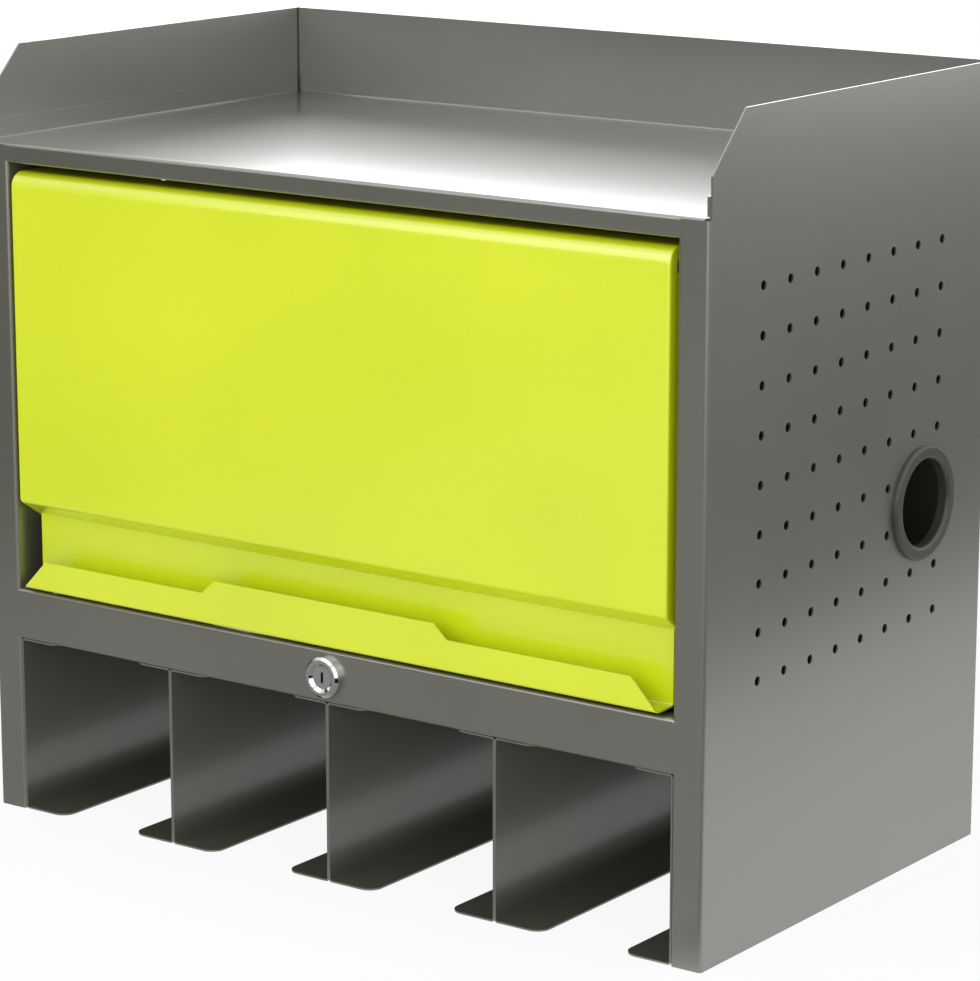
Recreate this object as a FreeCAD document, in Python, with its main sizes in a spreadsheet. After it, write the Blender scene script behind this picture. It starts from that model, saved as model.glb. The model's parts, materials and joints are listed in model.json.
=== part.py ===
import FreeCAD, Part
import math
import os
from types import SimpleNamespace

import Sketcher

# A sheet-steel tool cabinet: an open tray on top, a compartment behind a lift-up door, and four
# open tool slots underneath. Millimetres, +Z up, +X to the right seen from the front, +Y to the back.
# Sections are drawn with the stiles' front plane at Y = 0 and the cabinet standing on Z = 0.
# Every finished piece is then moved back, so that the origin is the bottom centre of the whole box.

SIZES = {
    # carcass
    "width": 480,
    "depth": 280,
    "height": 435,
    "sheet": 1,
    "bend_inside": 1,
    "weld_gap": 0.2,
    "corner_relief": 2.5,
    # side panels
    "stile_width": 18.5,
    "stile_return": 20,
    "back_flange": 15,
    "ear_slope_deep": 29.6,
    "ear_slope_high": 30.5,
    "peg_pitch": 25.4,
    "peg_diameter": 5,
    "peg_first_back": 49.7,
    "peg_first_up": 141.8,
    "peg_edge_room": 20,
    # back panel
    "wall_hole_diameter": 7,
    "wall_hole_across": 360,
    "wall_hole_up": 200,
    "wall_hole_low": 150,
    # tray on top
    "tray_deep": 51,
    "deck_upstand": 11,
    "top_rail_high": 11,
    "top_rail_return": 8,
    "upstand_setback": 3,
    "upstand_front": 0.5,
    # compartment floor
    "pan_underside": 101,
    "pan_rail_high": 29.2,
    "pan_rail_return": 12,
    "pan_upstand": 12,
    # tool slots
    "slot_flange": 30,
    "slot_top_flange": 27,
    "slot_corner": 8,
    # cable grommets
    "grommet_back": 212.5,
    "grommet_up": 204,
    "grommet_bore": 48,
    "grommet_neck": 52,
    "grommet_flange": 63,
    "grommet_proud": 3.2,
    "grommet_grip": 2.2,
    "grommet_bead": 1.9,
    # door
    "door_proud": 1.5,
    "door_side_gap": 3.5,
    "door_below_deck": 15.6,
    "door_face_bottom": 181.9,
    "door_deep": 24,
    "door_return_foot": 164.9,
    "door_top_bend": 7.5,
    "door_foot_bend": 2.5,
    "door_side_bend": 1.3,
    "strip_inset": 4,
    "strip_front": 12,
    "pull_floor": 133.5,
    "lip_proud": 3.4,
    "lip_top": 149.5,
    "lip_slope": 16,
    "tab_high": 7.8,
    "tab_half": 74.5,
    "tab_shoulder": 8.5,
    # door hinges
    "hinge_back": 11,
    "hinge_below_deck": 26,
    "pin_diameter": 6,
    "pin_head_diameter": 10,
    "pin_head_thick": 2,
    "running_gap": 0.05,
    "hinge_plate_thick": 2,
    "hinge_plate_high": 26,
    "hinge_plate_above": 6.5,
    "hinge_plate_front": 3,
    "washer_diameter": 12,
    "washer_gap": 0.2,
    "clip_diameter": 11,
    "clip_thick": 0.8,
    "clip_groove": 0.5,
    "clip_gap": 0.3,
    "clip_mouth": 4,
    # door stays
    "stay_radius": 100,
    "stay_lead_angle": 20,
    "door_swing_angle": 85,
    "stay_thick": 2,
    "stay_wide": 16,
    "stay_inset": 3.5,
    "stay_pin_diameter": 5,
    "stay_pin_head": 10,
    "stay_side_gap": 0.3,
    "stay_slot_gap": 0.2,
    "stud_head_diameter": 14,
    "stud_head_thick": 2,
    "stud_spacer_diameter": 10,
    "friction_washer_thick": 1.2,
    "bracket_thick": 2,
    "bracket_front": 3,
    "bracket_margin": 12,
    "bracket_high": 38,
    # lock
    "lock_up": 115.5,
    "lock_proud": 4.5,
    "lock_head_diameter": 22.4,
    "lock_head_bevel": 1.4,
    "lock_barrel_diameter": 19,
    "lock_barrel_end": 12.5,
    "lock_plug_diameter": 12.5,
    "lock_cup_wide": 1.8,
    "lock_cup_deep": 1.4,
    "lock_nut_across": 22,
    "lock_nut_thick": 4,
    "lock_cam_gap": 1,
    "lock_cam_thick": 2,
    "lock_cam_reach": 28,
    "lock_cam_wide": 14,
    "lock_neck_diameter": 9,
    "lock_tail": 6,
    "lock_key_wide": 1.6,
    "lock_key_high": 6,
    "lock_key_deep": 9,
    "lock_screw_diameter": 4,
    "lock_screw_head": 8,
    "lock_screw_head_thick": 2.4,
    "lock_screw_long": 7,
}

doc = FreeCAD.newDocument("ToolCabinet")
sheet_of_sizes = doc.addObject("Spreadsheet::Sheet", "Sizes")
for row, (alias, number) in enumerate(SIZES.items(), start=1):
    sheet_of_sizes.set(f"A{row}", alias)
    sheet_of_sizes.set(f"B{row}", str(number))
    sheet_of_sizes.setAlias(f"B{row}", alias)
doc.recompute()


class Size:
    """A length or angle that follows the sheet: its value now, and the expression that keeps it."""

    def __init__(self, value, text):
        self.value = float(value)
        self.text = text

    def __add__(self, other):
        other = as_size(other)
        return Size(self.value + other.value, f"({self.text} + {other.text})")

    def __sub__(self, other):
        other = as_size(other)
        return Size(self.value - other.value, f"({self.text} - {other.text})")

    def __rsub__(self, other):
        return as_size(other) - self

    def __mul__(self, other):
        other = as_size(other)
        return Size(self.value * other.value, f"({self.text} * {other.text})")

    def __truediv__(self, other):
        other = as_size(other)
        return Size(self.value / other.value, f"({self.text} / {other.text})")

    def __neg__(self):
        return Size(-self.value, f"(0 - {self.text})")

    __radd__ = __add__
    __rmul__ = __mul__


def as_size(number):
    return number if isinstance(number, Size) else Size(number, str(number))


def sine(angle):
    return Size(math.sin(math.radians(angle.value)), f"sin({angle.text})")


def cosine(angle):
    return Size(math.cos(math.radians(angle.value)), f"cos({angle.text})")


cell = SimpleNamespace(**{alias: Size(number, f"Sizes.{alias}") for alias, number in SIZES.items()})

# Places that several pieces share.
half = cell.width / 2
skin_inside = half - cell.sheet
lip_face = half - cell.stile_width
lip_back = lip_face + cell.sheet
back_front = cell.depth - 2 * cell.sheet
bend_outside = cell.bend_inside + cell.sheet
deck_top = cell.height - cell.tray_deep
deck_under = deck_top - cell.sheet
rail_under = deck_top - cell.top_rail_high
pan_floor = cell.pan_underside + cell.sheet
pan_rail_top = cell.pan_underside + cell.pan_rail_high
door_half = lip_face - cell.door_side_gap
door_top = deck_top - cell.door_below_deck
hinge_up = deck_top - cell.hinge_below_deck
door_inside = door_half - cell.sheet
hinge_plate_inside = door_inside - cell.hinge_plate_thick
stay_outer = door_inside - cell.stay_inset
stay_inner = stay_outer - cell.stay_thick
stay_pivot_up = hinge_up - cell.stay_radius
stud_back = cell.hinge_back + cell.stay_radius * sine(cell.stay_lead_angle)
stud_up = hinge_up - cell.stay_radius * cosine(cell.stay_lead_angle)
to_box_centre = (cell.lock_proud - cell.depth) / 2

# Section planes: the origin plane's role, and the axis that a pad on it runs along.
PLAN = ("XY_Plane", FreeCAD.Vector(0, 0, 1))
FRONT = ("XZ_Plane", FreeCAD.Vector(0, -1, 0))
SIDE = ("YZ_Plane", FreeCAD.Vector(1, 0, 0))
NEAR = 1e-4
HEXAGON_HALF_ANGLE = 30
SLOTS = 4

nodes = {}


def bind(thing, prop, size):
    thing.setExpression(prop, as_size(size).text)


def new_body(label):
    body = doc.addObject("PartDesign::Body", label)
    body.Label = label
    nodes[label] = body
    return body


def place(body, y=0, z=0):
    """Put a finished piece at a point of the front frame, moved back to the box's centre."""
    bind(body, "Placement.Base.y", to_box_centre + y)
    bind(body, "Placement.Base.z", z)


def mirror(label, source):
    """The same piece for the other side of the cabinet."""
    twin = doc.addObject("Part::Mirroring", label)
    twin.Label = label
    twin.Source = source
    twin.Normal = (1, 0, 0)
    nodes[label] = twin


def new_sketch(body, name, plane, offset=0):
    """A sketch on one of the body's own planes, moved along the plane's axis."""
    sketch = body.newObject("Sketcher::SketchObject", name)
    support = next(face for face in body.Origin.OriginFeatures if face.Role == plane[0])
    sketch.AttachmentSupport = [(support, "")]
    sketch.MapMode = "FlatFace"
    bind(sketch, "AttachmentOffset.Base.z", offset)
    return sketch


def constrain(sketch, entries):
    """Add driving constraints, each with the size that it follows."""
    made = [Sketcher.Constraint(kind, *target, size.value) for kind, target, size in entries]
    for index, (kind, target, size) in zip(sketch.addConstraint(made), entries):
        sketch.setExpression(f"Constraints[{index}]", size.text)


def at_point(geometry, end, x, y):
    """Two entries that hold a point at a place measured from the sketch's origin."""
    return [("DistanceX", (-1, 1, geometry, end), as_size(x)),
            ("DistanceY", (-1, 1, geometry, end), as_size(y))]


def vector(x, y):
    return FreeCAD.Vector(as_size(x).value, as_size(y).value, 0)


def polygon(sketch, points):
    """A closed outline of straight lines through the points."""
    count = len(points)
    spots = [vector(*point) for point in points]
    lines = [Part.LineSegment(spots[i], spots[(i + 1) % count]) for i in range(count)]
    ids = list(sketch.addGeometry(lines, False))
    joints = [Sketcher.Constraint("Coincident", ids[i], 2, ids[(i + 1) % count], 1) for i in range(count)]
    sketch.addConstraint(joints)
    constrain(sketch, [entry for i, point in zip(ids, points) for entry in at_point(i, 1, *point)])


def rectangle(sketch, left, low, right, high):
    polygon(sketch, [(left, low), (right, low), (right, high), (left, high)])


def circles(sketch, centres, diameter):
    diameter = as_size(diameter)
    upright = FreeCAD.Vector(0, 0, 1)
    rounds = [Part.Circle(vector(*centre), upright, diameter.value / 2) for centre in centres]
    ids = sketch.addGeometry(rounds, False)
    entries = []
    for i, centre in zip(ids, centres):
        entries += at_point(i, 3, *centre)
        entries.append(("Diameter", (i,), diameter))
    constrain(sketch, entries)


def slot(sketch, start, end, wide):
    """A straight slot along the sketch's first axis, with round ends about two centres."""
    radius = as_size(wide) / 2
    upright = FreeCAD.Vector(0, 0, 1)
    first = Part.Circle(vector(start, 0), upright, radius.value)
    last = Part.Circle(vector(end, 0), upright, radius.value)
    quarter = math.pi / 2
    ids = sketch.addGeometry([
        Part.ArcOfCircle(first, quarter, 3 * quarter),
        Part.LineSegment(vector(start, -radius), vector(end, -radius)),
        Part.ArcOfCircle(last, -quarter, quarter),
        Part.LineSegment(vector(end, radius), vector(start, radius)),
    ], False)
    left, under, right, over = ids
    sketch.addConstraint([
        Sketcher.Constraint("Tangent", left, 2, under, 1),
        Sketcher.Constraint("Tangent", under, 2, right, 1),
        Sketcher.Constraint("Tangent", right, 2, over, 1),
        Sketcher.Constraint("Tangent", over, 2, left, 1),
    ])
    constrain(sketch, at_point(left, 3, start, 0) + [("DistanceX", (-1, 1, right, 3), as_size(end)),
                                                   ("Radius", (left,), radius)])


def pad(body, sketch, length, both_ways=False, reverse=False):
    feature = body.newObject("PartDesign::Pad", f"{sketch.Name}_pad")
    feature.Profile = sketch
    feature.Midplane = both_ways
    feature.Reversed = reverse
    bind(feature, "Length", length)
    doc.recompute()


def pocket(body, sketch, length, both_ways=False, reverse=False):
    """Cut the sketch away; a cut that removes nothing is an error."""
    before = body.Tip.Shape.Volume
    feature = body.newObject("PartDesign::Pocket", f"{sketch.Name}_cut")
    feature.Profile = sketch
    feature.Midplane = both_ways
    feature.Reversed = reverse
    bind(feature, "Length", length)
    doc.recompute()
    if feature.Shape.Volume > before - NEAR:
        raise RuntimeError(f"{sketch.Label} cuts nothing")


def section_point(plane, point):
    """The two coordinates of a point as a sketch on that plane sees it."""
    if plane is SIDE:
        return point.y, point.z
    if plane is FRONT:
        return point.x, point.z
    return point.x, point.y


def edges_at(body, plane, spots):
    """Names of the straight edges square to a plane that pass through any of the spots."""
    found = []
    for number, edge in enumerate(body.Tip.Shape.Edges, start=1):
        if len(edge.Vertexes) != 2 or not isinstance(edge.Curve, Part.Line):
            continue
        start, end = (section_point(plane, corner.Point) for corner in edge.Vertexes)
        if math.dist(start, end) > NEAR:
            continue
        if any(math.dist(start, spot) < NEAR for spot in spots):
            found.append(f"Edge{number}")
    return found


def rims_at(body, place_along_x, radii):
    """Names of the circles about X at one place, with any of the radii."""
    found = []
    for number, edge in enumerate(body.Tip.Shape.Edges, start=1):
        if not isinstance(edge.Curve, Part.Circle) or edge.BoundBox.XLength > NEAR:
            continue
        there = abs(edge.Curve.Center.x - place_along_x.value) < NEAR
        if there and any(abs(edge.Curve.Radius - radius.value) < NEAR for radius in radii):
            found.append(f"Edge{number}")
    return found


def round_off(body, name, edges, radius):
    if not edges:
        raise RuntimeError(f"{name} finds no edge")
    feature = body.newObject("PartDesign::Fillet", name)
    feature.Base = (feature.BaseFeature, edges)
    bind(feature, "Radius", radius)
    doc.recompute()


def offset_corner(corner, before, after, hand, thick):
    """Where the sheet's second face turns, a thickness to one side of a corner of the first."""
    normals = []
    for heading in (before, after):
        if heading is not None:
            normals.append(FreeCAD.Vector(-heading.y, heading.x, 0) * hand)
    if len(normals) == 1:
        return corner + normals[0] * thick
    middle = normals[0] + normals[1]
    return corner + middle * (2 * thick / middle.dot(middle))


def folded(sketch, plane, corners, hand):
    """Draw a bent sheet's section: one face through the corners, the other a sheet's thickness away.

    hand is 1 where the thickness lies to the left of the way along the corners, and -1 to the right.
    The result lists where the bends are, as (spot, inside radius, whether it is the inside edge).
    """
    spots = [vector(*corner[:2]) for corner in corners]
    headings = [(b - a).normalize() for a, b in zip(spots, spots[1:])]
    before = [None] + headings
    after = headings + [None]
    thick = cell.sheet.value
    second = [offset_corner(*entry, hand, thick) for entry in zip(spots, before, after)]
    runs = len(headings)
    faces = [Part.LineSegment(a, b) for a, b in zip(spots, spots[1:])]
    backs = [Part.LineSegment(a, b) for a, b in zip(second, second[1:])]
    caps = [Part.LineSegment(spots[0], second[0]), Part.LineSegment(spots[-1], second[-1])]
    ids = list(sketch.addGeometry(faces + backs + caps, False))
    face_ids, back_ids, (start_cap, end_cap) = ids[:runs], ids[runs:2 * runs], ids[2 * runs:]
    ties = [Sketcher.Constraint("Coincident", a, 2, b, 1) for a, b in zip(face_ids, face_ids[1:])]
    ties += [Sketcher.Constraint("Coincident", a, 2, b, 1) for a, b in zip(back_ids, back_ids[1:])]
    ties += [
        Sketcher.Constraint("Coincident", start_cap, 1, face_ids[0], 1),
        Sketcher.Constraint("Coincident", start_cap, 2, back_ids[0], 1),
        Sketcher.Constraint("Coincident", end_cap, 1, face_ids[-1], 2),
        Sketcher.Constraint("Coincident", end_cap, 2, back_ids[-1], 2),
        Sketcher.Constraint("Perpendicular", start_cap, face_ids[0]),
        Sketcher.Constraint("Perpendicular", end_cap, face_ids[-1]),
    ]
    ties += [Sketcher.Constraint("Parallel", a, b) for a, b in zip(face_ids, back_ids)]
    sketch.addConstraint(ties)
    entries = [entry for i, corner in zip(face_ids, corners) for entry in at_point(i, 1, *corner[:2])]
    entries += at_point(face_ids[-1], 2, *corners[-1][:2])
    entries += [("Distance", (b, 1, a), cell.sheet) for a, b in zip(face_ids, back_ids)]
    constrain(sketch, entries)
    bends = []
    for i in range(1, runs):
        inside_radius = corners[i][2] if len(corners[i]) > 2 else cell.bend_inside
        left_turn = headings[i - 1].cross(headings[i]).z > 0
        second_inside = left_turn == (hand > 0)
        bends.append((plane, (spots[i].x, spots[i].y), inside_radius, not second_inside))
        bends.append((plane, (second[i].x, second[i].y), inside_radius, second_inside))
    return bends


def round_bends(body, bends):
    """Round both faces of every bend, the inside ones first."""
    groups = {}
    for plane, spot, inside_radius, inside in bends:
        radius = inside_radius if inside else inside_radius + cell.sheet
        groups.setdefault((not inside, plane[0], radius.text), (plane, radius, []))[2].append(spot)
    for number, key in enumerate(sorted(groups), start=1):
        plane, radius, spots = groups[key]
        round_off(body, f"{body.Label}_bend_{number}", edges_at(body, plane, spots), radius)


def turned(label, plane, axis, profile):
    """A turned piece: a closed profile revolved about one axis of its sketch."""
    body = new_body(label)
    sketch = new_sketch(body, f"{label}_profile", plane)
    polygon(sketch, profile)
    feature = body.newObject("PartDesign::Revolution", f"{label}_turn")
    feature.Profile = sketch
    feature.ReferenceAxis = (sketch, [axis])
    feature.Angle = 360
    doc.recompute()
    return body


def turned_along_x(label, profile):
    """A turned piece whose profile is given as (place along X, radius)."""
    return turned(label, PLAN, "H_Axis", profile)


def turned_along_y(label, profile):
    """A turned piece whose profile is given as (radius, place along Y)."""
    return turned(label, PLAN, "V_Axis", profile)


def peg_places():
    """Peg holes on a regular pitch, as many as the panel takes clear of its bends and the grommet."""
    keep_off = (cell.grommet_flange.value + cell.peg_diameter.value) / 2
    room = cell.peg_edge_room.value + cell.peg_diameter.value / 2
    last_back = (cell.depth - cell.back_flange).value - room
    last_up = deck_under.value - room
    columns = 1 + int((last_back - cell.peg_first_back.value) / cell.peg_pitch.value)
    rows = 1 + int((last_up - cell.peg_first_up.value) / cell.peg_pitch.value)
    places = []
    for column in range(columns):
        for row in range(rows):
            back = cell.peg_first_back + column * cell.peg_pitch
            up = cell.peg_first_up + row * cell.peg_pitch
            from_grommet = math.dist((back.value, up.value), (cell.grommet_back.value, cell.grommet_up.value))
            if from_grommet > keep_off:
                places.append((back, up))
    return places


def side_panel(label):
    """One bent sheet: lip, stile, side and back flange, with an ear above the tray's level."""
    body = new_body(label)
    plan = new_sketch(body, f"{label}_plan", PLAN)
    bends = folded(plan, PLAN, [
        (lip_face, cell.stile_return),
        (lip_face, 0),
        (half, 0),
        (half, cell.depth),
        (half - cell.back_flange, cell.depth),
    ], 1)
    pad(body, plan, cell.height)
    round_bends(body, bends)

    notch = new_sketch(body, f"{label}_notch", FRONT)
    rectangle(notch, lip_face - cell.sheet, deck_under, skin_inside, cell.height + cell.sheet)
    pocket(body, notch, 2 * (cell.stile_return + cell.sheet), both_ways=True)

    ear = new_sketch(body, f"{label}_ear", SIDE)
    above = cell.height + cell.sheet
    slope_back = bend_outside + cell.ear_slope_deep
    polygon(ear, [
        (bend_outside, deck_under),
        (bend_outside, cell.height - cell.ear_slope_high),
        (slope_back, cell.height),
        (slope_back, above),
        (-cell.sheet, above),
        (-cell.sheet, deck_under),
    ])
    pocket(body, ear, cell.width, both_ways=True)

    holes = new_sketch(body, f"{label}_holes", SIDE)
    circles(holes, peg_places(), cell.peg_diameter)
    circles(holes, [(cell.grommet_back, cell.grommet_up)], cell.grommet_neck)
    pocket(body, holes, cell.width, both_ways=True)

    hinge_hole = new_sketch(body, f"{label}_hinge_hole", SIDE)
    circles(hinge_hole, [(cell.hinge_back, hinge_up)], cell.pin_diameter)
    pocket(body, hinge_hole, 2 * lip_back + cell.sheet, both_ways=True)
    place(body)
    return body


def back_panel():
    body = new_body("back_panel")
    sheet = new_sketch(body, "back_panel_sheet", FRONT, -back_front)
    sheet_half = skin_inside - cell.bend_inside
    rectangle(sheet, -sheet_half, 0, sheet_half, cell.height)
    across = cell.wall_hole_across / 2
    top = cell.wall_hole_low + cell.wall_hole_up
    corners = [(x, z) for x in (-across, across) for z in (cell.wall_hole_low, top)]
    circles(sheet, corners, cell.wall_hole_diameter)
    pad(body, sheet, cell.sheet, reverse=True)
    place(body)


def flanged_sides(body, name, foot, high, front, back):
    """A floor with an upstand along each side, from one depth to another."""
    section = new_sketch(body, name, FRONT, -front)
    bends = folded(section, FRONT, [
        (-skin_inside, high),
        (-skin_inside, foot),
        (skin_inside, foot),
        (skin_inside, high),
    ], 1)
    pad(body, section, back - front, reverse=True)
    return bends


def top_deck():
    """The tray: its floor, three upstands, and the front folded down as the top rail."""
    body = new_body("top_deck")
    section = new_sketch(body, "top_deck_section", SIDE)
    upstand_top = deck_top + cell.deck_upstand
    upstand_face = back_front - cell.sheet
    bends = folded(section, SIDE, [
        (cell.top_rail_return, rail_under),
        (0, rail_under),
        (0, deck_top),
        (upstand_face, deck_top),
        (upstand_face, upstand_top),
    ], -1)
    floor_half = skin_inside - cell.corner_relief
    pad(body, section, 2 * floor_half, both_ways=True)
    side_front = cell.upstand_setback
    bends += flanged_sides(body, "top_deck_sides", deck_under, upstand_top, side_front,
                           back_front - cell.upstand_setback)
    round_bends(body, bends)

    fronts = new_sketch(body, "top_deck_upstand_fronts", FRONT, -cell.upstand_front)
    upstand_inside = skin_inside - cell.sheet
    upstand_foot = deck_top + cell.bend_inside
    rectangle(fronts, upstand_inside, upstand_foot, skin_inside, upstand_top)
    rectangle(fronts, -skin_inside, upstand_foot, -upstand_inside, upstand_top)
    pad(body, fronts, side_front - cell.upstand_front, reverse=True)

    rail_ends = new_sketch(body, "top_deck_rail_ends", FRONT)
    rail_half = lip_face - cell.weld_gap
    low = rail_under - cell.sheet
    rectangle(rail_ends, rail_half, low, half, deck_under)
    rectangle(rail_ends, -half, low, -rail_half, deck_under)
    pocket(body, rail_ends, 2 * (cell.top_rail_return + cell.sheet), both_ways=True)
    place(body)


def floor_pan():
    """The compartment's floor, with the front folded up and back as the lower rail."""
    body = new_body("floor_pan")
    section = new_sketch(body, "floor_pan_section", SIDE)
    upstand_top = pan_floor + cell.pan_upstand
    bends = folded(section, SIDE, [
        (cell.pan_rail_return, pan_rail_top),
        (0, pan_rail_top),
        (0, cell.pan_underside),
        (back_front, cell.pan_underside),
        (back_front, upstand_top),
    ], 1)
    pad(body, section, 2 * (lip_face - cell.weld_gap), both_ways=True)
    side_front = cell.stile_return + cell.sheet
    bends += flanged_sides(body, "floor_pan_sides", cell.pan_underside, upstand_top, side_front,
                           back_front - cell.upstand_setback)
    round_bends(body, bends)

    lock_hole = new_sketch(body, "floor_pan_lock_hole", FRONT)
    circles(lock_hole, [(0, cell.lock_up)], cell.lock_barrel_diameter)
    pocket(body, lock_hole, 4 * cell.sheet, both_ways=True)
    place(body)


def slot_plate(label, wall, facing):
    """A C-shaped plate between the floor and the ground; its flanges point to the slot's middle."""
    body = new_body(label)
    front = cell.sheet
    section = new_sketch(body, f"{label}_section", FRONT, -front)
    foot_edge = wall + facing * cell.slot_flange
    top_edge = wall + facing * cell.slot_top_flange
    bends = folded(section, FRONT, [
        (foot_edge, 0),
        (wall, 0),
        (wall, cell.pan_underside),
        (top_edge, cell.pan_underside),
    ], -facing)
    pad(body, section, back_front - front, reverse=True)
    round_bends(body, bends)
    corners = [(edge.value, front.value) for edge in (foot_edge, top_edge)]
    round_off(body, f"{label}_corners", edges_at(body, PLAN, corners), cell.slot_corner)
    place(body)


def grommet(label):
    """A moulded collar that lines the cable hole, with a fat bead outside and a thin lip inside."""
    bore = cell.grommet_bore / 2
    neck = cell.grommet_neck / 2
    rim = cell.grommet_flange / 2
    outside = half + cell.grommet_proud
    inside = skin_inside - cell.grommet_grip
    body = turned_along_x(label, [
        (inside, bore),
        (inside, neck + cell.grommet_grip),
        (skin_inside, neck + cell.grommet_grip),
        (skin_inside, neck),
        (half, neck),
        (half, rim),
        (outside, rim),
        (outside, bore),
    ])
    round_off(body, f"{label}_bead", rims_at(body, outside, (rim, bore)), cell.grommet_bead)
    place(body, y=cell.grommet_back, z=cell.grommet_up)
    return body


def door_skin():
    """The door: a shallow dish, with a recessed strip and a turned-up lip as the finger pull."""
    body = new_body("door_skin")
    block = new_sketch(body, "door_skin_block", SIDE)
    face = -cell.door_proud
    polygon(block, [
        (cell.door_deep, door_top),
        (face, door_top),
        (face, cell.door_face_bottom),
        (cell.door_deep, cell.door_return_foot),
    ])
    pad(body, block, 2 * door_half, both_ways=True)
    shoulder = edges_at(body, SIDE, [(face.value, door_top.value)])
    round_off(body, "door_skin_shoulder", shoulder, cell.door_top_bend + cell.sheet)
    foot_fold = edges_at(body, SIDE, [(face.value, cell.door_face_bottom.value)])
    round_off(body, "door_skin_foot_fold", foot_fold, cell.door_foot_bend + cell.sheet)
    outline = [f"Edge{number}" for number, edge in enumerate(body.Tip.Shape.Edges, start=1)
               if edge.BoundBox.XLength < NEAR and edge.BoundBox.YMin < cell.door_deep.value - NEAR]
    round_off(body, "door_skin_sides", outline, cell.door_side_bend)

    back = [f"Face{number}" for number, side in enumerate(body.Tip.Shape.Faces, start=1)
            if side.BoundBox.YMin > cell.door_deep.value - NEAR]
    shell = body.newObject("PartDesign::Thickness", "door_skin_shell")
    shell.Base = (shell.BaseFeature, back)
    shell.Reversed = True
    bind(shell, "Value", cell.sheet)
    doc.recompute()

    strip = new_sketch(body, "door_skin_strip", SIDE)
    lip_back_face = cell.sheet - cell.lip_proud
    slope = (cell.door_face_bottom - cell.door_return_foot) / (cell.door_deep + cell.door_proud)
    seam = cell.door_return_foot + slope * (cell.door_deep - cell.strip_front) + cell.sheet / 2
    tab_top = cell.lip_top + cell.tab_high
    bends = folded(strip, SIDE, [
        (cell.strip_front, seam),
        (cell.strip_front, cell.pull_floor),
        (lip_back_face, cell.pull_floor),
        (lip_back_face, tab_top),
    ], 1)
    strip_half = door_half - cell.strip_inset
    pad(body, strip, 2 * strip_half, both_ways=True)
    round_bends(body, bends)

    trim = new_sketch(body, "door_skin_lip_trim", FRONT)
    beyond = door_half + cell.sheet
    foot = cell.pull_floor - cell.sheet / 2
    slope_end = strip_half - cell.lip_slope
    tab_end = cell.tab_half + cell.tab_shoulder
    over = tab_top + cell.sheet
    for side in (1, -1):
        polygon(trim, [
            (side * cell.tab_half, over),
            (side * cell.tab_half, tab_top),
            (side * tab_end, cell.lip_top),
            (side * slope_end, cell.lip_top),
            (side * strip_half, foot),
            (side * beyond, foot),
            (side * beyond, over),
        ])
    pocket(body, trim, 2 * (cell.lip_proud + cell.sheet), both_ways=True)

    holes = new_sketch(body, "door_skin_holes", SIDE)
    circles(holes, [(cell.hinge_back, hinge_up)], cell.pin_diameter + 2 * cell.running_gap)
    circles(holes, [(cell.hinge_back, stay_pivot_up)], cell.stay_pin_diameter)
    pocket(body, holes, cell.width, both_ways=True)
    place(body)


def door_hinge_plate(label):
    """A thick plate welded inside the door's end, which the hinge pin runs in."""
    body = new_body(label)
    outline = new_sketch(body, f"{label}_outline", SIDE, hinge_plate_inside)
    top = hinge_up + cell.hinge_plate_above
    rectangle(outline, cell.hinge_plate_front, top - cell.hinge_plate_high, cell.door_deep, top)
    circles(outline, [(cell.hinge_back, hinge_up)], cell.pin_diameter + 2 * cell.running_gap)
    pad(body, outline, cell.hinge_plate_thick)
    place(body)
    return body


def hinge_pin(label):
    """A headed pin: pressed through the stile's lip, and grooved for a clip inside the door."""
    shank = cell.pin_diameter / 2
    clip_outer = hinge_plate_inside - cell.clip_gap
    clip_inner = clip_outer - cell.clip_thick
    groove = shank - cell.clip_groove
    head = cell.pin_head_diameter / 2
    body = turned_along_x(label, [
        (clip_inner - cell.clip_thick, 0),
        (clip_inner - cell.clip_thick, shank),
        (clip_inner, shank),
        (clip_inner, groove),
        (clip_outer, groove),
        (clip_outer, shank),
        (lip_back, shank),
        (lip_back, head),
        (lip_back + cell.pin_head_thick, head),
        (lip_back + cell.pin_head_thick, 0),
    ])
    place(body, y=cell.hinge_back, z=hinge_up)
    return body


def ring(label, low, high, bore, outside):
    """A plain ring about an axis along X."""
    return turned_along_x(label, [(low, bore / 2), (low, outside / 2), (high, outside / 2), (high, bore / 2)])


def hinge_washer(label):
    """A nylon washer that fills the gap between the stile's lip and the door."""
    bore = cell.pin_diameter + 2 * cell.running_gap
    body = ring(label, door_half + cell.washer_gap, lip_face, bore, cell.washer_diameter)
    place(body, y=cell.hinge_back, z=hinge_up)
    return body


def hinge_clip(label):
    """A retaining clip: a ring in the pin's groove, open at the bottom where it is pushed on."""
    outer = hinge_plate_inside - cell.clip_gap
    groove = cell.pin_diameter - 2 * cell.clip_groove
    body = ring(label, outer - cell.clip_thick, outer, groove, cell.clip_diameter)
    mouth = new_sketch(body, f"{label}_mouth", SIDE)
    mouth_half = cell.clip_mouth / 2
    rectangle(mouth, -mouth_half, -cell.clip_diameter, mouth_half, 0)
    pocket(body, mouth, cell.width, both_ways=True)
    place(body, y=cell.hinge_back, z=hinge_up)
    return body


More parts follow.
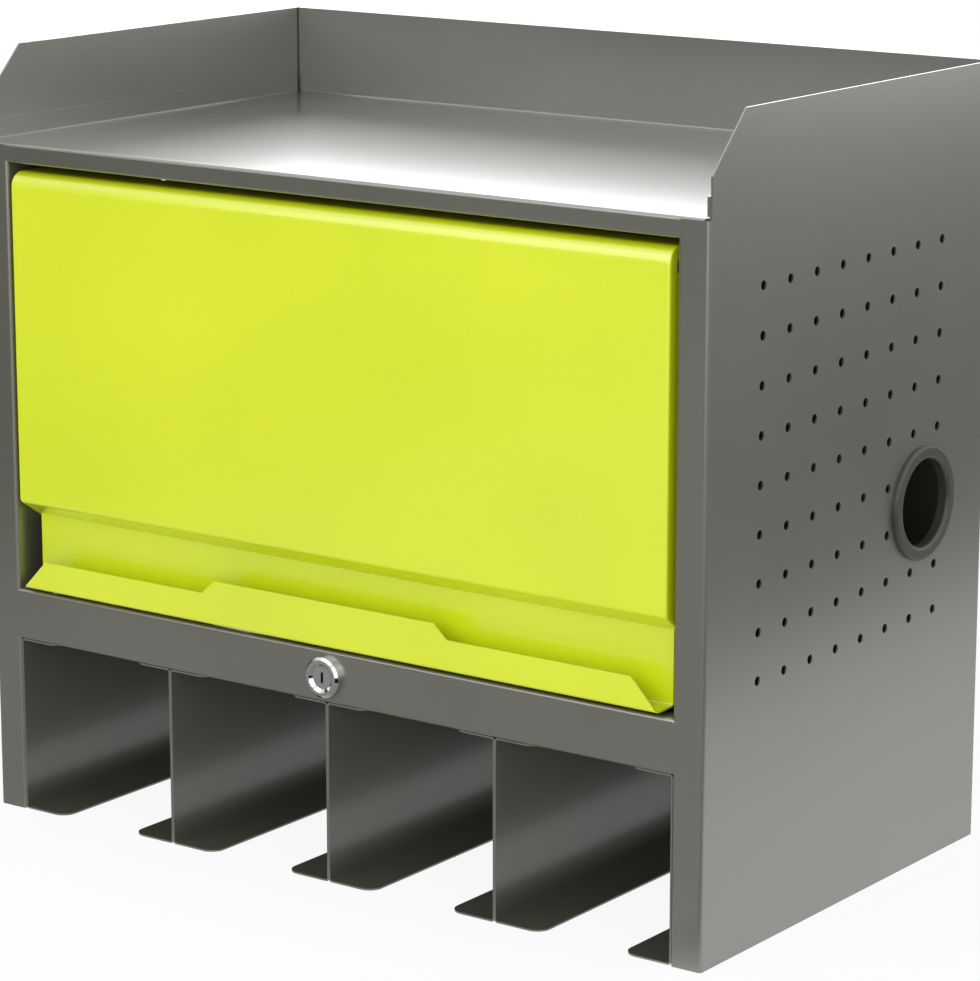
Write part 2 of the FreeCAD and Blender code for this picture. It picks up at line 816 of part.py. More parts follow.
def stay_bracket(label):
    """A plate welded to the stile's lip, reaching back to carry the stay's stud."""
    body = new_body(label)
    outline = new_sketch(body, f"{label}_outline", SIDE, lip_back)
    low = stud_up - cell.bracket_high / 2
    high = stud_up + cell.bracket_high / 2
    back = stud_back + cell.bracket_margin
    taper = cell.bracket_high / 2 - cell.bracket_margin
    polygon(outline, [
        (cell.bracket_front, low),
        (cell.stile_return, low),
        (back, low + taper),
        (back, high - taper),
        (cell.stile_return, high),
        (cell.bracket_front, high),
    ])
    circles(outline, [(stud_back, stud_up)], cell.pin_diameter)
    pad(body, outline, cell.bracket_thick)
    corners = [(back.value, (low + taper).value), (back.value, (high - taper).value)]
    round_off(body, f"{label}_corners", edges_at(body, SIDE, corners), cell.bracket_margin / 2)
    place(body)
    return body


def stay_stud(label):
    """The shouldered stud that the stay's slot slides on, riveted through its bracket."""
    slide = cell.stay_pin_diameter / 2
    head = cell.stud_head_diameter / 2
    spacer = cell.stud_spacer_diameter / 2
    rivet = cell.pin_diameter / 2
    washer_outer = stay_inner - cell.stay_slot_gap
    head_outer = washer_outer - cell.friction_washer_thick
    spacer_inner = stay_outer + cell.stay_side_gap
    rivet_end = lip_back + cell.bracket_thick + cell.sheet
    body = turned_along_x(label, [
        (head_outer - cell.stud_head_thick, 0),
        (head_outer - cell.stud_head_thick, head),
        (head_outer, head),
        (head_outer, slide),
        (spacer_inner, slide),
        (spacer_inner, spacer),
        (lip_back, spacer),
        (lip_back, rivet),
        (rivet_end, rivet),
        (rivet_end, 0),
    ])
    place(body, y=stud_back, z=stud_up)
    return body


def friction_washer(label):
    """The washer between the stud's head and the sliding arm."""
    outer = stay_inner - cell.stay_slot_gap
    bore = cell.stay_pin_diameter + 2 * cell.running_gap
    body = ring(label, outer - cell.friction_washer_thick, outer, bore, cell.stud_head_diameter)
    place(body, y=stud_back, z=stud_up)
    return body


def stay_arm(label):
    """A slotted link. Pivot and stud are equally far from the door's axis, so the arm turns half as far."""
    body = new_body(label)
    outline = new_sketch(body, f"{label}_outline", SIDE, stay_inner)
    stud_at_rest = 2 * cell.stay_radius * sine(cell.stay_lead_angle / 2)
    stud_at_end = 2 * cell.stay_radius * sine((cell.stay_lead_angle + cell.door_swing_angle) / 2)
    slot(outline, 0, stud_at_end, cell.stay_wide)
    slot(outline, stud_at_rest, stud_at_end, cell.stay_pin_diameter + 2 * cell.stay_slot_gap)
    circles(outline, [(0, 0)], cell.stay_pin_diameter + 2 * cell.running_gap)
    pad(body, outline, cell.stay_thick)
    place(body, y=cell.hinge_back, z=stay_pivot_up)
    body.Placement.Rotation = FreeCAD.Rotation(SIDE[1], 1)
    bind(body, "Placement.Rotation.Angle", cell.stay_lead_angle / 2)
    return body


def stay_pivot_pin(label):
    """The shouldered pin that the stay arm turns on, riveted flush into the door's end."""
    journal = cell.stay_pin_diameter / 2
    head = cell.stay_pin_head / 2
    head_outer = stay_inner - cell.stay_side_gap
    head_inner = head_outer - cell.stay_thick
    shoulder_inner = stay_outer + cell.stay_side_gap
    body = turned_along_x(label, [
        (head_inner, 0),
        (head_inner, head),
        (head_outer, head),
        (head_outer, journal),
        (shoulder_inner, journal),
        (shoulder_inner, head),
        (door_inside, head),
        (door_inside, journal),
        (door_half, journal),
        (door_half, 0),
    ])
    place(body, y=cell.hinge_back, z=stay_pivot_up)
    return body


def lock_body():
    """The lock's flanged barrel: its face dishes down to the plug."""
    bore = cell.lock_plug_diameter / 2 + cell.running_gap
    cup_rim = bore + cell.lock_cup_wide
    cup_floor = cell.lock_cup_deep - cell.lock_proud
    rim = cell.lock_head_diameter / 2
    bevel = cell.lock_head_bevel
    barrel = cell.lock_barrel_diameter / 2
    body = turned_along_y("lock_body", [
        (bore, cup_floor),
        (cup_rim, -cell.lock_proud),
        (rim - bevel, -cell.lock_proud),
        (rim, bevel - cell.lock_proud),
        (rim, 0),
        (barrel, 0),
        (barrel, cell.lock_barrel_end),
        (bore, cell.lock_barrel_end),
    ])
    place(body, z=cell.lock_up)


def lock_nut():
    """The hexagon nut that clamps the barrel to the rail."""
    body = new_body("lock_nut")
    outline = new_sketch(body, "lock_nut_outline", FRONT, -cell.sheet)
    flat = cell.lock_nut_across / 2
    corner = flat / cosine(as_size(HEXAGON_HALF_ANGLE))
    polygon(outline, [
        (corner, 0),
        (corner / 2, flat),
        (-corner / 2, flat),
        (-corner, 0),
        (-corner / 2, -flat),
        (corner / 2, -flat),
    ])
    circles(outline, [(0, 0)], cell.lock_barrel_diameter)
    pad(body, outline, cell.lock_nut_thick, reverse=True)
    place(body, z=cell.lock_up)


def cam_front():
    """Where the cam starts, behind the door's strip."""
    return cell.strip_front + cell.sheet + cell.lock_cam_gap


def lock_plug():
    """The turning core: keyway in front, a square tail for the cam, a tapped hole behind."""
    radius = cell.lock_plug_diameter / 2
    shoulder = cam_front()
    neck = cell.lock_neck_diameter / 2
    body = turned_along_y("lock_plug", [
        (0, cell.lock_cup_deep - cell.lock_proud),
        (radius, cell.lock_cup_deep - cell.lock_proud),
        (radius, cell.lock_barrel_end),
        (neck, cell.lock_barrel_end),
        (neck, shoulder),
        (0, shoulder),
    ])
    tail = new_sketch(body, "lock_plug_tail", FRONT, -shoulder)
    side = cell.lock_tail / 2
    rectangle(tail, -side, -side, side, side)
    pad(body, tail, cell.lock_cam_thick, reverse=True)

    keyway = new_sketch(body, "lock_plug_keyway", FRONT, cell.lock_proud)
    key_half = cell.lock_key_wide / 2
    key_rise = cell.lock_key_high / 2
    rectangle(keyway, -key_half, -key_rise, key_half, key_rise)
    pocket(body, keyway, cell.lock_key_deep)

    tapped = new_sketch(body, "lock_plug_tapped", FRONT, -(shoulder + cell.lock_cam_thick))
    circles(tapped, [(0, 0)], cell.lock_screw_diameter)
    pocket(body, tapped, cell.lock_screw_long, reverse=True)
    place(body, z=cell.lock_up)


def lock_cam():
    """The flat cam: sideways when unlocked, upright behind the door's strip when locked."""
    body = new_body("lock_cam")
    outline = new_sketch(body, "lock_cam_outline", FRONT, -cam_front())
    end = cell.lock_cam_reach - cell.lock_cam_wide / 2
    slot(outline, 0, end, cell.lock_cam_wide)
    side = cell.lock_tail / 2
    rectangle(outline, -side, -side, side, side)
    pad(body, outline, cell.lock_cam_thick, reverse=True)
    place(body, z=cell.lock_up)


def cam_screw():
    """The screw that holds the cam on the plug's tail."""
    seat = cam_front() + cell.lock_cam_thick
    head = cell.lock_screw_head / 2
    shank = cell.lock_screw_diameter / 2
    body = turned_along_y("cam_screw", [
        (0, seat - cell.lock_screw_long),
        (shank, seat - cell.lock_screw_long),
        (shank, seat),
        (head, seat),
        (head, seat + cell.lock_screw_head_thick),
        (0, seat + cell.lock_screw_head_thick),
    ])
    drive = new_sketch(body, "cam_screw_drive", FRONT, -(seat + cell.lock_screw_head_thick))
    drive_half = cell.lock_key_wide / 2
    rectangle(drive, -head, -drive_half, head, drive_half)
    pocket(body, drive, cell.lock_screw_head_thick / 2, reverse=True)
    place(body, z=cell.lock_up)


# Carcass
mirror("left_side_panel", side_panel("right_side_panel"))
back_panel()
top_deck()
floor_pan()

# Four tool slots between five walls; each slot has a plate on its left and one on its right
slot_pitch = 2 * lip_face / SLOTS
for number in range(SLOTS):
    left_wall = number * slot_pitch - lip_face
    slot_plate(f"slot_{number + 1}_left_plate", left_wall, 1)
    slot_plate(f"slot_{number + 1}_right_plate", left_wall + slot_pitch, -1)

# Pieces in left and right pairs
PAIRS = {
    "grommet": grommet,
    "door_hinge_plate": door_hinge_plate,
    "hinge_pin": hinge_pin,
    "hinge_washer": hinge_washer,
    "hinge_clip": hinge_clip,
    "stay_bracket": stay_bracket,
    "stay_stud": stay_stud,
    "stay_washer": friction_washer,
    "stay_arm": stay_arm,
    "stay_pivot_pin": stay_pivot_pin,
}
for name, make in PAIRS.items():
    mirror(f"{name}_left", make(f"{name}_right"))

# Door and lock
door_skin()
lock_body()
lock_nut()
lock_plug()
lock_cam()
cam_screw()

doc.recompute()
for thing in doc.Objects:
    if {"Invalid", "Error"} & set(thing.State):
        raise RuntimeError(f"{thing.Label} failed: {thing.State}")
for label, piece in nodes.items():
    if piece.Shape.isNull() or not piece.Shape.isValid():
        raise RuntimeError(f"{label} has no valid shape")

os.makedirs("parts", exist_ok=True)
for label, piece in nodes.items():
    piece.Shape.exportStep(f"parts/{label}.step")
print(f"{len(nodes)} pieces")
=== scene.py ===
import json
import math

import bmesh
import bpy
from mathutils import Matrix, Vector


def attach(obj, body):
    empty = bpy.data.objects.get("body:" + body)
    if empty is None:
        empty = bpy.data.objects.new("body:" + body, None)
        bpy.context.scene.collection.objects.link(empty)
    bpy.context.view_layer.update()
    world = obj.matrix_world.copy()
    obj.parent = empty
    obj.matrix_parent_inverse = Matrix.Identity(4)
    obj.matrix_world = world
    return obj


# A sheet-steel tool cabinet in metallic grey powder coat, with a lime lift-up door.
# Metres, +Z up, the door faces -Y. The origin is the bottom centre of the whole box.

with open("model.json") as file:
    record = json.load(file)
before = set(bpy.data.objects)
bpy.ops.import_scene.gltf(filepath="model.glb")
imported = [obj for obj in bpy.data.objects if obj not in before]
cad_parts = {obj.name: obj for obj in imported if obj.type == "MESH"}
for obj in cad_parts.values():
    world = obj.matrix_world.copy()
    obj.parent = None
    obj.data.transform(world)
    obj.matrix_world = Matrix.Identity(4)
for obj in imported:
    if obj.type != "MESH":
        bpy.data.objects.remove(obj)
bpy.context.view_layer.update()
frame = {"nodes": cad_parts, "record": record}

MM = 0.001
WHITE = "#ffffff"


# Colours and nodes
def srgb(text):
    """A hex colour as linear RGBA."""
    channels = [int(text[i:i + 2], 16) / 255 for i in (1, 3, 5)]
    return [c / 12.92 if c <= 0.04045 else ((c + 0.055) / 1.055) ** 2.4 for c in channels] + [1.0]


def add_node(tree, kind, links=None, **settings):
    """Add one node: settings are its properties and input values, links feed its inputs."""
    node = tree.nodes.new(kind)
    for name, value in settings.items():
        if hasattr(node, name):
            setattr(node, name, value)
        else:
            node.inputs[name.replace("_", " ")].default_value = value
    for name, source in (links or {}).items():
        tree.links.new(source, node.inputs[name])
    return node


def new_material(name):
    """A material with an empty tree, and its output node."""
    material = bpy.data.materials.new(name)
    material.use_nodes = True
    tree = material.node_tree
    tree.nodes.clear()
    return material, tree, tree.nodes.new("ShaderNodeOutputMaterial")


# Powder coat: polyester powder, sprayed on steel sheet and baked. It flows out to a clear glossy skin with a
# soft orange peel, over a duller layer that takes the light more widely. The grey one holds metal flakes,
# which lift its reflections. Flakes are about 0.05 mm across, too fine to show, so they are drawn at 0.6 mm.
# Orange peel is 1 to 2 mm from crest to crest, and the sheet's own rolling marks run along it below the coat.
# The film's thickness drifts over a hand's breadth, and the tone with it. Sizes are in millimetres.
GREY = {"flake": 0.6, "flake_share": 0.4, "roughness": 0.37, "ior": 1.85, "coat_roughness": 0.16}
LIME = {"flake": 0.6, "flake_share": 0.2, "roughness": 0.33, "ior": 1.5, "coat_roughness": 0.14}
FILM_DRIFT = 160
TONE_START = 0.35
TONE_END = 0.65
SHINE_SPREAD = 0.04
PEEL = 1.6
PEEL_DEPTH = 0.02
PEEL_STRENGTH = 0.5
ROLLING_MARK = 2.5
ROLLING_STRETCH = (0.04, 1.0, 1.0)


def powder_coat(name, deep, pale, finish):
    material, tree, output = new_material(name)
    place = add_node(tree, "ShaderNodeTexCoord").outputs["Object"]
    drift = add_node(tree, "ShaderNodeTexNoise", {"Vector": place}, Scale=1 / (FILM_DRIFT * MM), Detail=2.0)
    flake = add_node(tree, "ShaderNodeTexNoise", {"Vector": place}, Scale=1 / (finish["flake"] * MM))
    blend = add_node(tree, "ShaderNodeMix", {
        2: drift.outputs["Fac"],
        3: flake.outputs["Fac"],
    }, data_type="FLOAT")
    blend.inputs[0].default_value = finish["flake_share"]
    tone = add_node(tree, "ShaderNodeValToRGB", {"Fac": blend.outputs[0]})
    low, high = tone.color_ramp.elements
    low.position = TONE_START
    low.color = srgb(deep)
    high.position = TONE_END
    high.color = srgb(pale)
    rolled = add_node(tree, "ShaderNodeMapping", {"Vector": place}, Scale=ROLLING_STRETCH)
    marks = add_node(tree, "ShaderNodeTexNoise", {
        "Vector": rolled.outputs["Vector"],
    }, Scale=1 / (ROLLING_MARK * MM))
    peel = add_node(tree, "ShaderNodeTexNoise", {"Vector": place}, Scale=1 / (PEEL * MM), Detail=2.0)
    skin = add_node(tree, "ShaderNodeMath", {
        0: marks.outputs["Fac"],
        1: peel.outputs["Fac"],
    }, operation="ADD")
    bump = add_node(tree, "ShaderNodeBump", {
        "Height": skin.outputs[0],
    }, Strength=PEEL_STRENGTH, Distance=PEEL_DEPTH * MM)
    shine = add_node(tree, "ShaderNodeMapRange", {
        "Value": blend.outputs[0],
    }, To_Min=finish["roughness"] - SHINE_SPREAD, To_Max=finish["roughness"] + SHINE_SPREAD)
    shader = add_node(tree, "ShaderNodeBsdfPrincipled", {
        "Base Color": tone.outputs["Color"],
        "Roughness": shine.outputs["Result"],
        "Normal": bump.outputs["Normal"],
        "Coat Normal": bump.outputs["Normal"],
    }, IOR=finish["ior"], Specular_IOR_Level=1.0, Coat_Weight=1.0, Coat_Roughness=finish["coat_roughness"])
    tree.links.new(shader.outputs["BSDF"], output.inputs["Surface"])
    return material


# Zinc plate: bright zinc on turned and stamped steel, a pale metal with fine lines along its length
ZINC_GRAIN = 0.8
ZINC_STRETCH = (1.0, 1.0, 0.1)
ZINC_DEPTH = 0.03


def zinc_plate(name):
    material, tree, output = new_material(name)
    place = add_node(tree, "ShaderNodeTexCoord").outputs["Object"]
    stretch = add_node(tree, "ShaderNodeMapping", {"Vector": place}, Scale=ZINC_STRETCH)
    grain = add_node(tree, "ShaderNodeTexNoise", {
        "Vector": stretch.outputs["Vector"],
    }, Scale=1 / (ZINC_GRAIN * MM))
    shine = add_node(tree, "ShaderNodeMapRange", {"Value": grain.outputs["Fac"]}, To_Min=0.22, To_Max=0.42)
    bump = add_node(tree, "ShaderNodeBump", {
        "Height": grain.outputs["Fac"],
    }, Strength=0.3, Distance=ZINC_DEPTH * MM)
    shader = add_node(tree, "ShaderNodeBsdfPrincipled", {
        "Roughness": shine.outputs["Result"],
        "Normal": bump.outputs["Normal"],
    }, Base_Color=srgb("#c3c4c2"), Metallic=1.0)
    tree.links.new(shader.outputs["BSDF"], output.inputs["Surface"])
    return material


# Moulded nylon and vinyl: a faint even grain from the tool's surface, with a dull and slightly uneven shine
GRAIN_DEPTH = 0.04
GRAIN_SHINE = 0.06
PLASTIC_IOR = 1.53


def moulded(name, colour, roughness, grain_size):
    material, tree, output = new_material(name)
    place = add_node(tree, "ShaderNodeTexCoord").outputs["Object"]
    grain = add_node(tree, "ShaderNodeTexNoise", {"Vector": place}, Scale=1 / (grain_size * MM), Detail=4.0)
    bump = add_node(tree, "ShaderNodeBump", {
        "Height": grain.outputs["Fac"],
    }, Strength=0.4, Distance=GRAIN_DEPTH * MM)
    shine = add_node(tree, "ShaderNodeMapRange", {
        "Value": grain.outputs["Fac"],
    }, To_Min=roughness - GRAIN_SHINE, To_Max=roughness + GRAIN_SHINE)
    shader = add_node(tree, "ShaderNodeBsdfPrincipled", {
        "Roughness": shine.outputs["Result"],
        "Normal": bump.outputs["Normal"],
    }, Base_Color=srgb(colour), IOR=PLASTIC_IOR)
    tree.links.new(shader.outputs["BSDF"], output.inputs["Surface"])
    return material


# Chrome plate: bright chrome on polished die-cast zinc, a mirror with the slightest waviness
CHROME_WAVE = 2
CHROME_WAVE_DEPTH = 0.1


def chrome_plate(name):
    material, tree, output = new_material(name)
    place = add_node(tree, "ShaderNodeTexCoord").outputs["Object"]
    wave = add_node(tree, "ShaderNodeTexNoise", {"Vector": place}, Scale=1 / (CHROME_WAVE * MM))
    bump = add_node(tree, "ShaderNodeBump", {
        "Height": wave.outputs["Fac"],
    }, Strength=0.5, Distance=CHROME_WAVE_DEPTH * MM)
    shader = add_node(tree, "ShaderNodeBsdfPrincipled", {
        "Normal": bump.outputs["Normal"],
    }, Base_Color=srgb("#d2d2d0"), Metallic=1.0, Roughness=0.12)
    tree.links.new(shader.outputs["BSDF"], output.inputs["Surface"])
    return material


FINISHES = {
    "carcass": powder_coat("metallic_grey_powder_coat", "#48473c", "#504f43", GREY),
    "door": powder_coat("lime_powder_coat", "#c8d50a", "#d0dc0e", LIME),
    "steel": zinc_plate("zinc_plated_steel"),
    "nylon": moulded("black_nylon", "#161615", 0.5, 0.7),
    "grommet": moulded("soft_black_vinyl", "#34332b", 0.46, 0.9),
    "lock": chrome_plate("chrome_plated_zinc"),
}
COATED_SLOTS = ("carcass", "door")

# Cut edges: the coat rounds over the sheet's corners, so each cut shows as a thin light line
EDGE_ROUND = 0.16
EDGE_STEPS = 2
EDGE_ANGLE = 50

for subpart in frame["record"]["subparts"]:
    node = frame["nodes"][subpart["node"]]
    slot = subpart["material_slot"]
    node.data.materials.clear()
    node.data.materials.append(FINISHES[slot])
    if slot in COATED_SLOTS:
        edges = node.modifiers.new("coated_edges", "BEVEL")
        edges.width = EDGE_ROUND * MM
        edges.segments = EDGE_STEPS
        edges.limit_method = "ANGLE"
        edges.angle_limit = math.radians(EDGE_ANGLE)
        edges.harden_normals = True

# Welds: each rail's end is welded to the stile's bend and ground flush in front. Millimetres and degrees.
FRONT_PLANE = -137.75
RAIL_END = 221.3
STILE_BEND_CENTRE = 223.5
BEND = 2.0
WELD_END = 50
ARC_STEPS = 4
RAILS = {"top": (373.0, 384.0), "low": (101.0, 130.2)}


def weld_outline(front):
    """The weld's section, as (across, back) points, where its front lies at one depth."""
    start = math.acos((BEND - front) / BEND)
    points = [(RAIL_END, front)]
    for step in range(ARC_STEPS + 1):
        turn = start + (math.pi / 2 - start) * step / ARC_STEPS
        points.append((STILE_BEND_CENTRE - BEND * math.sin(turn), BEND - BEND * math.cos(turn)))
    points.append((RAIL_END, BEND))
    return points


def weld_seam(name, foot, head, side):
    """The weld follows the rail's face, and turns in with its bends at foot and head."""
    turns = [math.radians(WELD_END * step / ARC_STEPS) for step in range(ARC_STEPS, -1, -1)]
    levels = [(foot + BEND - BEND * math.sin(turn), BEND - BEND * math.cos(turn)) for turn in turns]
    levels += [(head + foot - up, front) for up, front in reversed(levels)]
    shape = bmesh.new()
    rows = []
    for up, front in levels:
        spots = [(side * across, FRONT_PLANE + back, up) for across, back in weld_outline(front)]
        rows.append([shape.verts.new(Vector(spot) * MM) for spot in spots])
    count = len(rows[0])
    for below, above in zip(rows, rows[1:]):
        for i in range(count):
            j = (i + 1) % count
            shape.faces.new((below[i], below[j], above[j], above[i]))
    shape.faces.new(rows[0])
    shape.faces.new(rows[-1])
    bmesh.ops.recalc_face_normals(shape, faces=shape.faces)
    mesh = bpy.data.meshes.new(name)
    shape.to_mesh(mesh)
    shape.free()
    mesh.materials.append(FINISHES["carcass"])
    piece = bpy.data.objects.new(name, mesh)
    bpy.context.scene.collection.objects.link(piece)
    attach(piece, "cabinet")


for rail, (foot, head) in RAILS.items():
    weld_seam(f"weld_seam_{rail}_right", foot, head, 1)
    weld_seam(f"weld_seam_{rail}_left", foot, head, -1)

# Floor: white paper that keeps the shadow. Reflections see a painted reflection in place of lit paper: a glow
# in bands between darker ones, with bands in front, one at the cabinet's right that starts at its front, and
# a painted glowing sheet under the cabinet that stays bright in its shadow. Metres. A band's row is its place
# across and its level, where 1 is white.
REACH = 8.0
FLOOR_DROP = 0.2
SHOWN_HALF = 0.8
# Painted reflection: the floor's glow as reflections see it, set band by band
PAINTED_REFLECTION_BANDS = [(-0.72, 0.05), (-0.58, 0.36), (-0.2, 0.34), (-0.1, 0.28), (0.15, 0.3),
                (0.23, 0.85), (0.48, 0.85), (0.6, 0.05)]
# Painted reflection: the floor under the cabinet glows at this level in reflections, also where it lies in
# shadow
PAINTED_UNDER_GLOW = 0.5
UNDER_EDGE = (0.22, 0.26)
FRONT_EDGE = (-0.2, -0.14)
RIGHT_STRIP_EDGE = (0.18, 0.22)
SHADOW_REACH = (0.5, 1.6)
SHADOW_PALENESS = 0.9
floor_mesh = bpy.data.meshes.new("floor")
corners = [(-REACH, -REACH, 0), (REACH, -REACH, 0), (REACH, REACH, 0), (-REACH, REACH, 0)]
floor_mesh.from_pydata(corners, [], [(0, 1, 2, 3)])
floor = bpy.data.objects.new("floor", floor_mesh)
bpy.context.scene.collection.objects.link(floor)
floor.location.z = -FLOOR_DROP * MM

# The camera sees even white paper here; reflections see the painted glow bands in place of lit paper
material, tree, output = new_material("white_floor_and_painted_reflections")
path = add_node(tree, "ShaderNodeLightPath")
seen = add_node(tree, "ShaderNodeMath", {
    0: path.outputs["Is Camera Ray"],
    1: path.outputs["Is Transmission Ray"],
}, operation="MAXIMUM")
shown = add_node(tree, "ShaderNodeMath", {
    0: seen.outputs[0],
    1: path.outputs["Is Glossy Ray"],
}, operation="MAXIMUM")
spot = add_node(tree, "ShaderNodeTexCoord").outputs["Object"]
across = add_node(tree, "ShaderNodeSeparateXYZ", {"Vector": spot})
along = add_node(tree, "ShaderNodeMapRange", {
    "Value": across.outputs["X"],
}, From_Min=-SHOWN_HALF, From_Max=SHOWN_HALF)
strips = add_node(tree, "ShaderNodeValToRGB", {"Fac": along.outputs["Result"]})
stops = strips.color_ramp.elements
while len(stops) < len(PAINTED_REFLECTION_BANDS):
    stops.new(1.0)
for stop, (place, level) in zip(stops, PAINTED_REFLECTION_BANDS):
    stop.position = (place + SHOWN_HALF) / (2 * SHOWN_HALF)
    stop.color = (level, level, level, 1.0)
aside = add_node(tree, "ShaderNodeMath", {0: across.outputs["X"]}, operation="ABSOLUTE")
below = add_node(tree, "ShaderNodeMapRange", {
    "Value": aside.outputs[0],
}, From_Min=UNDER_EDGE[0], From_Max=UNDER_EDGE[1], To_Min=PAINTED_UNDER_GLOW, To_Max=0.0)
behind = add_node(tree, "ShaderNodeMapRange", {
    "Value": across.outputs["Y"],
}, From_Min=FRONT_EDGE[0], From_Max=FRONT_EDGE[1])
# Painted reflection: the glowing sheet under the cabinet, shown to reflections in the cabinet's shadow
painted_glow_under_cabinet = add_node(tree, "ShaderNodeMath", {
    0: below.outputs[0],
    1: behind.outputs[0],
}, operation="MULTIPLY")
left_of = add_node(tree, "ShaderNodeMapRange", {
    "Value": across.outputs["X"],
}, From_Min=RIGHT_STRIP_EDGE[0], From_Max=RIGHT_STRIP_EDGE[1], To_Min=1.0, To_Max=0.0)
open_floor = add_node(tree, "ShaderNodeMath", {
    0: left_of.outputs[0],
    1: behind.outputs[0],
}, operation="MAXIMUM")
# Painted reflection: the bands' glow, which only reflections see
painted_band_glow = add_node(tree, "ShaderNodeMath", {
    0: strips.outputs["Color"],
    1: open_floor.outputs[0],
}, operation="MULTIPLY")
level = add_node(tree, "ShaderNodeMath", {
    0: painted_band_glow.outputs[0],
    1: painted_glow_under_cabinet.outputs[0],
}, operation="MAXIMUM")
white = add_node(tree, "ShaderNodeMath", {
    0: level.outputs[0],
    1: seen.outputs[0],
}, operation="MAXIMUM")
away = add_node(tree, "ShaderNodeVectorMath", {0: spot}, operation="LENGTH")
share = add_node(tree, "ShaderNodeMapRange", {
    "Value": away.outputs["Value"],
}, From_Min=SHADOW_REACH[0], From_Max=SHADOW_REACH[1], To_Min=SHADOW_PALENESS, To_Max=1.0)
glow = add_node(tree, "ShaderNodeEmission", {"Strength": white.outputs[0]}, Color=srgb(WHITE))
paper = add_node(tree, "ShaderNodeBsdfDiffuse", Color=srgb("#f4f4f2"))
lit = add_node(tree, "ShaderNodeMixShader", {
    0: share.outputs[0],
    1: paper.outputs[0],
    2: glow.outputs[0],
})
reflected = add_node(tree, "ShaderNodeMixShader", {
    0: path.outputs["Is Glossy Ray"],
    1: lit.outputs[0],
    2: glow.outputs[0],
})
surface = add_node(tree, "ShaderNodeMixShader", {
    0: shown.outputs[0],
    1: paper.outputs[0],
    2: reflected.outputs[0],
})
tree.links.new(surface.outputs[0], output.inputs["Surface"])
floor_mesh.materials.append(material)

# Room: white walls and a lit ceiling, with a dark curtain low down at the front left. Only reflections show
# them, and the camera sees plain white. The curtain's heading is turned from straight ahead of the door.
CURTAIN_MIDDLE = math.radians(-40)
CURTAIN_EDGE = math.cos(math.radians(60))
CURTAIN_EDGE_SOFT = 0.05
CURTAIN_TOP = math.sin(math.radians(28))
CURTAIN_TOP_SOFT = 0.03
CURTAIN_LEVEL = 0.05
CEILING_EDGE = math.sin(math.radians(50))
CEILING_SOFT = 0.08
CEILING_LEVEL = 1.8
ROOM_LIGHT = 0.55
world = bpy.data.worlds.new("studio")
bpy.context.scene.world = world
world.use_nodes = True
tree = world.node_tree
tree.nodes.clear()
output = tree.nodes.new("ShaderNodeOutputWorld")
path = add_node(tree, "ShaderNodeLightPath")
seen = add_node(tree, "ShaderNodeMath", {
    0: path.outputs["Is Camera Ray"],
    1: path.outputs["Is Transmission Ray"],
}, operation="MAXIMUM")
shown = add_node(tree, "ShaderNodeMath", {
    0: seen.outputs[0],
    1: path.outputs["Is Glossy Ray"],
}, operation="MAXIMUM")
heading = add_node(tree, "ShaderNodeTexCoord").outputs["Generated"]
height = add_node(tree, "ShaderNodeSeparateXYZ", {"Vector": heading})
facing = add_node(tree, "ShaderNodeVectorMath", {0: heading}, operation="DOT_PRODUCT")
facing.inputs[1].default_value = (math.sin(CURTAIN_MIDDLE), -math.cos(CURTAIN_MIDDLE), 0)
beside = add_node(tree, "ShaderNodeMapRange", {
    "Value": facing.outputs["Value"],
}, From_Min=CURTAIN_EDGE - CURTAIN_EDGE_SOFT, From_Max=CURTAIN_EDGE + CURTAIN_EDGE_SOFT,
    To_Min=1.0, To_Max=CURTAIN_LEVEL)
over = add_node(tree, "ShaderNodeMapRange", {
    "Value": height.outputs["Z"],
}, From_Min=CURTAIN_TOP - CURTAIN_TOP_SOFT, From_Max=CURTAIN_TOP + CURTAIN_TOP_SOFT,
    To_Min=CURTAIN_LEVEL, To_Max=1.0)
walls = add_node(tree, "ShaderNodeMath", {
    0: beside.outputs[0],
    1: over.outputs[0],
}, operation="MAXIMUM")
ceiling = add_node(tree, "ShaderNodeMapRange", {
    "Value": height.outputs["Z"],
}, From_Min=CEILING_EDGE - CEILING_SOFT, From_Max=CEILING_EDGE + CEILING_SOFT,
    To_Min=1.0, To_Max=CEILING_LEVEL)
lights = add_node(tree, "ShaderNodeMath", {
    0: walls.outputs[0],
    1: ceiling.outputs[0],
}, operation="MULTIPLY")
level = add_node(tree, "ShaderNodeMix", {
    0: seen.outputs[0],
    2: lights.outputs[0],
}, data_type="FLOAT")
level.inputs[3].default_value = 1.0
backdrop = add_node(tree, "ShaderNodeBackground", {"Strength": level.outputs[0]}, Color=srgb(WHITE))
room = add_node(tree, "ShaderNodeBackground", Color=srgb(WHITE), Strength=ROOM_LIGHT)
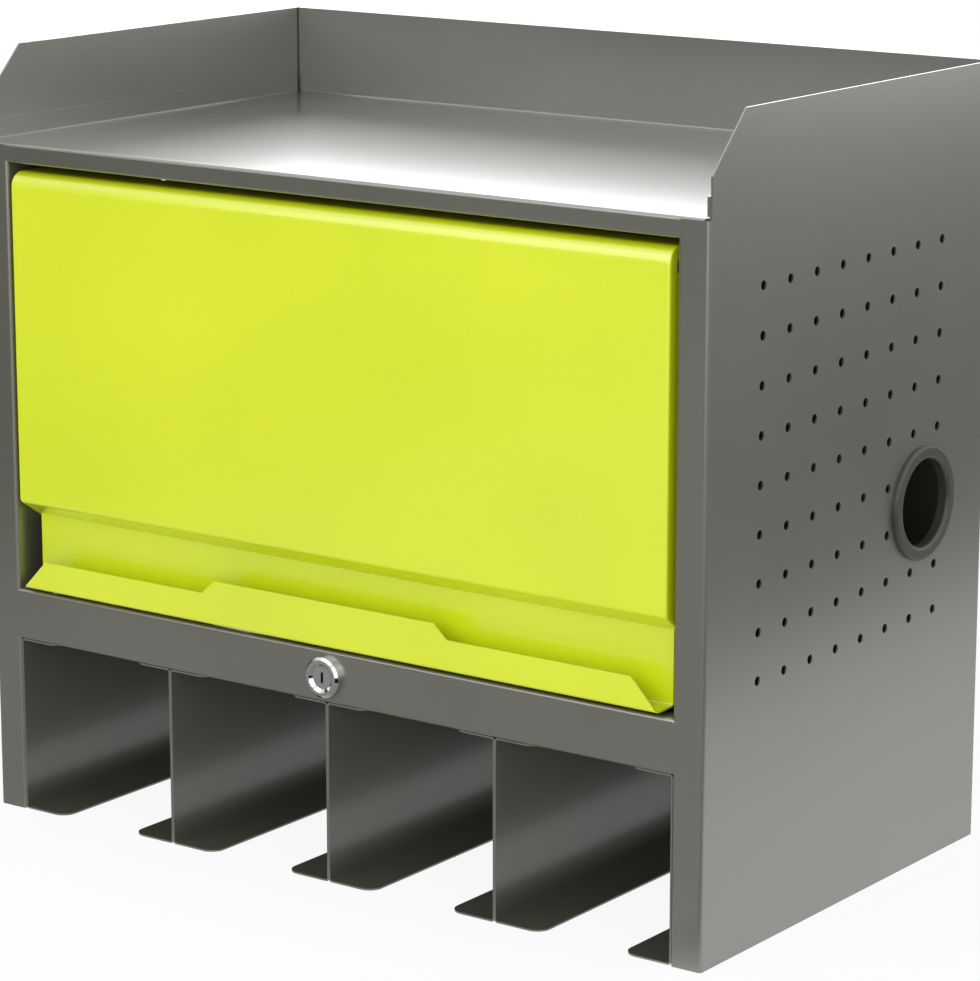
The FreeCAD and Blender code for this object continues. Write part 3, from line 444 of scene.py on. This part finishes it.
blend = add_node(tree, "ShaderNodeMixShader", {
    0: shown.outputs[0],
    1: room.outputs[0],
    2: backdrop.outputs[0],
})
tree.links.new(blend.outputs[0], output.inputs["Surface"])

# Soft boxes: square lamps that aim at the cabinet's middle. Place and side in metres, power in watts.
MIDDLE = Vector((0, 0, 0.2))
SOFT_BOXES = [
    ("front_left", (-0.9, -2.2, 1.5), 1.8, 20),
    ("front", (0.7, -2.4, 0.8), 1.6, 18),
    ("front_right", (1.6, -1.9, 0.9), 2.2, 13),
    ("right", (2.4, 0.3, 0.9), 1.6, 11),
    ("left", (-2.4, 0.6, 0.9), 1.6, 10),
    ("back_left", (-1.3, 1.9, 0.9), 1.2, 13),
    ("back_right", (1.8, 2.0, 0.7), 1.2, 7),
]
for name, place, side, power in SOFT_BOXES:
    lamp = bpy.data.lights.new(name, "AREA")
    lamp.shape = "SQUARE"
    lamp.size = side
    lamp.energy = power
    light = bpy.data.objects.new(name, lamp)
    light.location = place
    light.rotation_mode = "QUATERNION"
    light.rotation_quaternion = (MIDDLE - Vector(place)).to_track_quat("-Z", "Y")
    light.visible_camera = False
    bpy.context.scene.collection.objects.link(light)

# Camera: the photograph's view, found from the cabinet's corners and peg holes
PHOTO_LONG_SIDE = 981
FOCAL_PIXELS = 3788.5
SENSOR = 36.0
AZIMUTH = math.radians(36.141)
ELEVATION = math.radians(13.013)
CAMERA_PLACE = (1219.95, -1659.33, 667.68)
camera_data = bpy.data.cameras.new("camera")
camera_data.sensor_width = SENSOR
camera_data.lens = SENSOR * FOCAL_PIXELS / PHOTO_LONG_SIDE
camera = bpy.data.objects.new("camera", camera_data)
backward = Vector((
    math.sin(AZIMUTH) * math.cos(ELEVATION),
    -math.cos(AZIMUTH) * math.cos(ELEVATION),
    math.sin(ELEVATION),
))
camera.location = Vector(CAMERA_PLACE) * MM
camera.rotation_mode = "QUATERNION"
camera.rotation_quaternion = (-backward).to_track_quat("-Z", "Y")
bpy.context.scene.collection.objects.link(camera)
bpy.context.scene.camera = camera

bpy.context.scene.view_settings.view_transform = "Standard"
